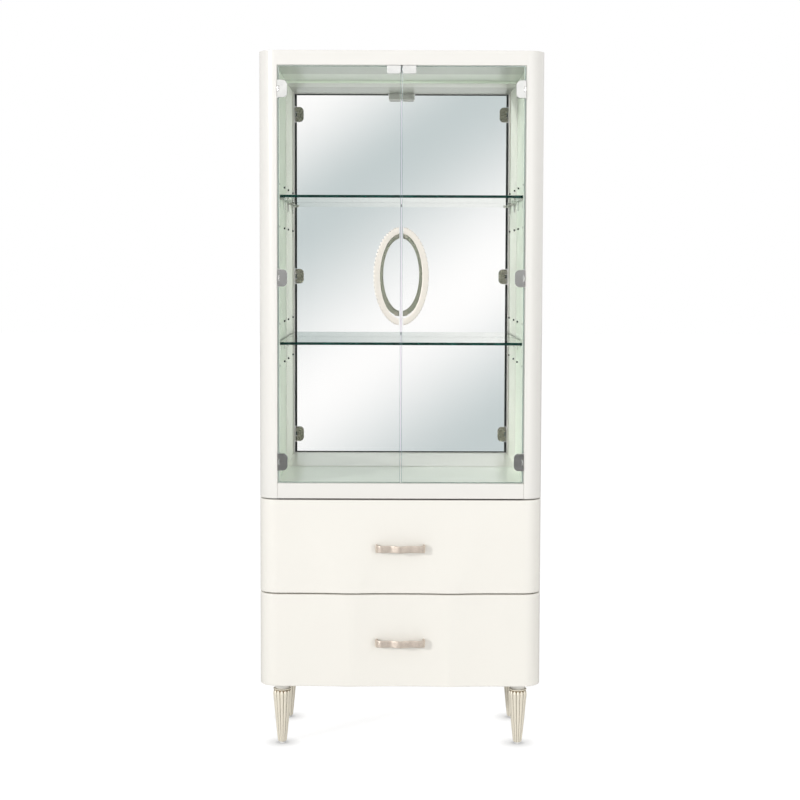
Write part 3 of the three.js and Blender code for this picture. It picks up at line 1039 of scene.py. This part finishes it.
def catmull_rom(points, share):
    """A point on a smooth curve through the points."""
    place = share * (len(points) - 1)
    index = min(int(place), len(points) - 2)
    t = place - index
    p0, p1, p2, p3 = (points[min(max(index + k, 0), len(points) - 1)] for k in (-1, 0, 1, 2))
    v0 = [(c - a) * 0.5 for a, c in zip(p0, p2)]
    v1 = [(c - a) * 0.5 for a, c in zip(p1, p3)]
    t2 = t * t
    t3 = t2 * t
    return [
        (2 * b - 2 * c + m + n) * t3 + (-3 * b + 3 * c - 2 * m - n) * t2 + m * t + b
        for b, c, m, n in zip(p1, p2, v0, v1)
    ]


class CURIO_OT_drawers(bpy.types.Operator):
    """Carved drawer fronts, boxes, strap pulls and runners"""

    bl_idname = "curio.drawers"
    bl_label = "Drawers"

    def execute(self, context):
        for body in ("upper_drawer", "lower_drawer"):
            self.front(body)
            self.pull(body)
            dress(f"{body}_box", body, "drawer_box_board", drawer_board(), 0.0012)
            for name, side in SIDES:
                self.runner(f"{body}_{name}_runner", side)
        return {"FINISHED"}

    def front(self, body):
        low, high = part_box(f"{body}_front")
        radius = sizes().drawer_edge
        turn = 5
        count = 44
        edge = []
        for i in range(turn):
            angle = i / turn * math.pi / 2
            edge.append((low.z + radius * (1 - math.cos(angle)), radius * (1 - math.sin(angle))))
        z0 = low.z + radius
        z1 = high.z - radius
        heights = edge + [(z0 + (z1 - z0) * i / count, 0.0) for i in range(count + 1)]
        heights += [(low.z + high.z - z, inset) for z, inset in reversed(edge)]
        made = loft(f"{body}_carved_front", [front_ring(z, inset) for z, inset in heights])
        smooth_by_angle(made, 30)
        # painted light: the drawer fronts take the lighter lacquer
        paint(made, drawer_lacquer_painted_light())
        settle(made, body, "outer_lacquer", f"{body}_front")

    def pull(self, body):
        """A reeded strap with three waves, turned back to the drawer at both ends."""
        low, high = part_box(f"{body}_pull")
        middle = (low.z + high.z) / 2
        half = (high.z - low.z) / 2
        thickness = 0.004
        foot = FRONT - high.y
        crest = FRONT - low.y - thickness / 2
        left = [(-0.069, foot), (-0.0725, 0.014), (-0.0695, 0.0255), (-0.056, 0.0325), (-0.03, 0.0295)]
        plan = left + [(0, crest)] + [(-x, reach) for x, reach in reversed(left)]
        steps = 150
        near = 0.002
        section = pull_section(thickness)
        rings = []
        patina = []
        for step in range(steps + 1):
            share = step / steps
            x, reach = catmull_rom(plan, share)
            xa, ra = catmull_rom(plan, max(0.0, share - near))
            xb, rb = catmull_rom(plan, min(1.0, share + near))
            length = math.hypot(xb - xa, rb - ra)
            out_x = -(rb - ra) / length
            out_reach = (xb - xa) / length
            at_end = step in (0, steps)
            tall = strap_height(half, share)
            ring = []
            for out, up, _ in section:
                y = high.y if at_end else FRONT - reach - out * out_reach
                ring.append((x + out * out_x, y, middle + up * tall))
            rings.append(ring)
            patina.append([dark for _, _, dark in section])
        made = loft(f"{body}_strap_pull", rings, patina)
        smooth_by_angle(made, 50)
        paint(made, rosy_silver())
        settle(made, body, "champagne_silver", f"{body}_pull")

    def runner(self, node_name, side):
        """A channel: the long face is inset and pressed in."""
        low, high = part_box(node_name)
        made = block(f"{node_name}_finish", low, high)
        press_face(made, side, 0.009, 0.005)
        round_edges(made, 0.0012)
        paint(made, zinc_steel())
        settle(made, "cabinet", "zinc_steel", node_name)


def pull_section(thickness):
    """Points round the strap's section, reeded outside: outwards, share of half height, patina."""
    reeds = 8
    outer = thickness / 2
    edge = outer - 0.0028
    section = []
    count = reeds * 6
    for step in range(count + 1):
        share = step / count
        place = (share * reeds) % 1.0
        groove = (2 * place - 1) ** 4 if 0 < step < count else 1.0
        crown = 0.0009 * (2 * share - 1) ** 4
        section.append((outer - 0.0004 * groove - crown, 0.95 * (2 * share - 1), 0.1 + 0.45 * groove))
    # the back and the top and bottom edges are darker
    section += [(edge, 1.0, 0.2), (-outer * 0.6, 1.0, 0.3), (-outer, 0.9, 0.4), (-outer, 0, 0.4)]
    section += [(-outer, -0.9, 0.4), (-outer * 0.6, -1.0, 0.3), (edge, -1.0, 0.2)]
    return section


def strap_height(half, share):
    """Half the strap's height: slimmer in the middle, full at the outer waves, rounded off at the ends."""
    reach = abs(2 * share - 1)
    height = half * (0.84 + 0.16 * smooth((reach - 0.45) / 0.3))
    end = clamp01((reach - 0.86) / 0.14)
    return height * math.sqrt(1 - 0.65 * end * end)


# ---- legs ----
class CURIO_OT_legs(bpy.types.Operator):
    """Reeded tapered legs with a lacquered neck and a pale glide"""

    bl_idname = "curio.legs"
    bl_label = "Legs"

    def execute(self, context):
        for end in ("front", "back"):
            for name, _ in SIDES:
                self.leg(f"{end}_{name}_leg")
        return {"FINISHED"}

    def leg(self, node_name):
        low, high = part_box(node_name)
        x = (low.x + high.x) / 2
        y = (low.y + high.y) / 2
        shaft = self.shaft(f"{node_name}_shaft", x, y)
        settle(shaft, "cabinet", "champagne_silver", node_name)
        neck = turned(f"{node_name}_neck", x, y, [
            (0.012, 0.1705), (0.0205, 0.1705), (0.0212, 0.1725), (0.0232, 0.177), (0.0262, 0.183),
            (0.0276, 0.188), (0.0280, high.z), (0.012, high.z),
        ])
        round_edges(neck, 0.0006, 3, 50)
        paint(neck, outer_lacquer())
        settle(neck, "cabinet", "outer_lacquer")
        glide = turned(f"{node_name}_glide", x, y, [
            (0.0002, 0.0), (0.0080, 0.0), (0.0094, 0.0012), (0.0095, 0.0040), (0.0002, 0.0040),
        ])
        round_edges(glide, 0.0004, 2, 50)
        paint(glide, white_plastic())
        settle(glide, "cabinet", "white_plastic")

    def shaft(self, name, x, y):
        """Convex reeds with domed ends round a tapering core, under a plain collar."""
        reeds = sizes().reeds
        around = reeds * 12
        bottom = 0.0042
        taper_start = 0.009
        dome_start = 0.1535
        dome_end = 0.1665
        foot_radius = 0.0138
        top_radius = 0.0280
        rows = [(bottom, 0.010), (0.0050, 0.0118), (0.0065, 0.0130), (taper_start, foot_radius)]
        for i in range(1, 25):
            z = taper_start + (dome_start - taper_start) * i / 24
            rows.append((z, foot_radius + (top_radius - foot_radius) * (i / 24) ** 0.93))
        rows += [(dome_start + (dome_end - dome_start) * i / 8, top_radius) for i in range(1, 9)]
        rings = []
        patina = []
        for z, radius in rows:
            lift = clamp01((z - dome_start) / (dome_end - dome_start))
            fade = clamp01((z - bottom) / 0.006)
            depth = 0.15 * radius * (0.3 + 0.7 * fade)
            ring = []
            dark = []
            for step in range(around):
                angle = step / around * 2 * math.pi
                place = (step / around * reeds) % 1.0
                off = 2 * place - 1
                bulge = math.sqrt(max(0.0, 1 - off * off - lift * lift))
                reach = radius - depth * (1 - bulge)
                ring.append((x + reach * math.cos(angle), y + reach * math.sin(angle), z))
                dark.append(clamp01((0.66 - bulge) / 0.66) ** 0.8)
            rings.append(ring)
            patina.append(dark)
        collar = [
            (0.1667, 0.0236, 0.95), (0.1672, 0.0262, 0.3), (0.1682, 0.0273, 0.0), (0.1696, 0.0273, 0.0),
            (0.1704, 0.0262, 0.5),
        ]
        for z, radius, dark in collar:
            rings.append(circle(x, y, radius, z, around))
            patina.append([dark] * around)
        made = loft(name, rings, patina)
        smooth_by_angle(made, 60)
        paint(made, champagne_silver())
        return made


def turned(name, x, y, profile):
    """A round piece: a profile of (radius, height) spun about a vertical axis."""
    made = loft(name, [circle(x, y, radius, z, 64) for radius, z in profile])
    smooth_by_angle(made, 35)
    return made


# ---- stage ----
class CURIO_OT_stage(bpy.types.Operator):
    """Pale floor, soft studio light, a reflector behind the camera, and the camera"""

    bl_idname = "curio.stage"
    bl_label = "Stage"

    def execute(self, context):
        scene = context.scene
        stage = scene.stage_settings
        scene.view_settings.view_transform = "Standard"
        self.floor()
        self.reflector()
        self.panel("key_light", (-10.3, -9.9, 4.4), 0.9, stage.key_energy)
        self.panel("right_fill", (4.2, -6.6, 1.4), 3.0, stage.key_energy * 0.155)
        self.camera(scene, stage)
        self.world(scene, stage)
        return {"FINISHED"}

    def floor(self):
        """Pale paper that looks brighter straight on and dimmer in polished pieces."""
        bpy.ops.mesh.primitive_plane_add(size=60, location=(0, 0, -0.0001))
        made = added("studio_floor")
        material, tree = new_material("floor_paper")
        tint = ramp(tree, noise(0.6)(tree), [(0.3, 0.93), (0.7, 0.95)])
        paper = node(
            tree, "ShaderNodeBsdfPrincipled", Base_Color=tint, Roughness=0.9, Specular_IOR_Level=0.1
        ).outputs["BSDF"]
        pale = emission(tree, Color=self.contact_shade(tree), Strength=1.2)
        dim = emission(tree, Strength=0.12)
        path = node(tree, "ShaderNodeLightPath").outputs
        pale_share = maths(tree, "MULTIPLY", seen_directly(tree, path), 0.68)
        gloss = maths(tree, "SUBTRACT", path["Is Glossy Ray"], path["Is Transmission Ray"], use_clamp=True)
        dim_share = maths(tree, "MULTIPLY", gloss, 0.7)
        surface(tree, mix_shader(tree, dim_share, mix_shader(tree, pale_share, paper, pale), dim))
        paint(made, material)

    def contact_shade(self, tree):
        """A painted shadow: a soft darkening of the paper round each foot."""
        feet = [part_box(f"{end}_right_leg") for end in ("front", "back")]
        column = (feet[0][0].x + feet[0][1].x) / 2
        place = object_place(tree)
        mirrored = node(tree, "ShaderNodeVectorMath", place, operation="ABSOLUTE").outputs["Vector"]
        across = along(tree, mirrored, "X")
        inwards = along(tree, place, "Y")
        away = []
        for low, high in feet:
            spot = node(tree, "ShaderNodeCombineXYZ", X=across, Y=inwards).outputs["Vector"]
            foot = (column, (low.y + high.y) / 2, 0)
            away.append(node(tree, "ShaderNodeVectorMath", spot, foot, operation="DISTANCE").outputs["Value"])
        fade = map_range(tree, maths(tree, "MINIMUM", *away), From_Min=0.006, From_Max=0.06)
        return ramp(tree, fade, [(0.0, 0.3), (0.35, 0.72), (1.0, 1.0)])

    def reflector(self):
        """A tall card with slanted pale and grey-blue bands, which only mirrors and glass see."""
        bpy.ops.mesh.primitive_plane_add(size=1, location=(0, -6.0, 2.6), rotation=(math.pi / 2, 0, 0))
        made = added("studio_reflector")
        made.scale = (9, 5.2, 1)
        bake_place(made)
        material, tree = new_material("reflector_bands")
        place = object_place(tree)
        slant = (0.574, 0, -0.819)
        centre = slant[2] * 1.46
        dot = node(tree, "ShaderNodeVectorMath", place, slant, operation="DOT_PRODUCT").outputs["Value"]
        shift = map_range(tree, dot, From_Min=centre - 1.373, From_Max=centre + 1.347)
        pale = (1.0, 0.967, 1.015)
        cool = (0.555, 0.60, 0.638)
        tint = ramp(tree, shift, [(0.0, pale), (0.268, cool), (0.652, pale), (1.0, cool)])
        tint.node.color_ramp.interpolation = "EASE"
        bands = emission(tree, Color=tint, Strength=1.22)
        upward = map_range(tree, along(tree, place, "Z"), From_Min=0.2, From_Max=2.8)
        room = emission(tree, Color=ramp(tree, upward, [(0.0, 0.12), (0.45, 0.32), (0.9, 1.2)]))
        path = node(tree, "ShaderNodeLightPath").outputs
        passed_glass = maths(tree, "GREATER_THAN", path["Transmission Depth"], 0.5)
        from_mirror = maths(tree, "GREATER_THAN", path["Ray Length"], 6.1)
        inside = maths(tree, "MAXIMUM", passed_glass, from_mirror)
        surface(tree, mix_shader(tree, inside, room, bands))
        paint(made, material)
        made.visible_camera = False
        made.visible_diffuse = False
        made.visible_shadow = False

    def panel(self, name, place, size, energy):
        """A square lamp that looks at the middle of the cabinet."""
        bpy.ops.object.light_add(type="AREA", location=place)
        made = added(name)
        made.data.shape = "SQUARE"
        made.data.size = size
        made.data.energy = energy
        aim = Vector((0, 0, 1.0)) - Vector(place)
        made.rotation_euler = aim.to_track_quat("-Z", "Y").to_euler()

    def camera(self, scene, stage):
        bpy.ops.object.camera_add(location=(0, DOOR_FRONT - stage.camera_distance, stage.eye_height))
        made = bpy.context.object
        made.rotation_euler = (math.pi / 2 - stage.pitch, stage.roll, 0)
        made.data.lens = stage.lens
        made.data.sensor_width = 36
        made.data.shift_x = -0.0015
        made.data.shift_y = -0.036
        made.data.clip_end = 200
        scene.camera = made

    def world(self, scene, stage):
        """A soft grey wash that is a little brighter to the right, and white where it is seen directly."""
        world = bpy.data.worlds.new("studio")
        world.use_nodes = True
        tree = world.node_tree
        tree.nodes.clear()
        place = node(tree, "ShaderNodeTexCoord").outputs["Generated"]
        sideways = map_range(tree, along(tree, place, "X"), From_Min=-1.0)
        wash = ramp(tree, sideways, [(0.05, 0.95), (0.3, 0.9), (0.42, 1.0), (0.65, 1.0), (0.9, 1.15)])
        soft = node(tree, "ShaderNodeBackground", Color=wash, Strength=stage.ambient)
        seen = node(tree, "ShaderNodeBackground", Color=(1, 1, 1, 1), Strength=1.0)
        direct = seen_directly(tree, node(tree, "ShaderNodeLightPath").outputs)
        lit = mix_shader(tree, direct, soft.outputs["Background"], seen.outputs["Background"])
        node(tree, "ShaderNodeOutputWorld", Surface=lit)
        scene.world = world


# ---- panel and registration ----
STEPS = (
    CURIO_OT_case_shell,
    CURIO_OT_boards,
    CURIO_OT_mirror,
    CURIO_OT_shelves,
    CURIO_OT_doors,
    CURIO_OT_latch,
    CURIO_OT_drawers,
    CURIO_OT_legs,
    CURIO_OT_stage,
)


class CURIO_PT_panel(bpy.types.Panel):
    """Lists the settings and the steps"""

    bl_idname = "CURIO_PT_panel"
    bl_label = "Curio cabinet"
    bl_space_type = "VIEW_3D"
    bl_region_type = "UI"
    bl_category = "Curio cabinet"

    def draw(self, context):
        layout = self.layout
        scene = context.scene
        for group in (scene.cabinet_sizes, scene.cabinet_colours, scene.stage_settings):
            box = layout.box()
            for name in group.__annotations__:
                box.prop(group, name)
        for step in STEPS:
            layout.operator(step.bl_idname)


CLASSES = (CabinetSizes, CabinetColours, StageSettings, *STEPS, CURIO_PT_panel)


def register():
    for each in CLASSES:
        bpy.utils.register_class(each)
    bpy.types.Scene.cabinet_sizes = bpy.props.PointerProperty(type=CabinetSizes)
    bpy.types.Scene.cabinet_colours = bpy.props.PointerProperty(type=CabinetColours)
    bpy.types.Scene.stage_settings = bpy.props.PointerProperty(type=StageSettings)


def unregister():
    del bpy.types.Scene.stage_settings
    del bpy.types.Scene.cabinet_colours
    del bpy.types.Scene.cabinet_sizes
    for each in reversed(CLASSES):
        bpy.utils.unregister_class(each)


def main():
    register()
    bpy.ops.curio.case_shell()
    bpy.ops.curio.boards()
    bpy.ops.curio.mirror()
    bpy.ops.curio.shelves()
    bpy.ops.curio.doors()
    bpy.ops.curio.latch()
    bpy.ops.curio.drawers()
    bpy.ops.curio.legs()
    bpy.ops.curio.stage()


if __name__ == "__main__":
    main()
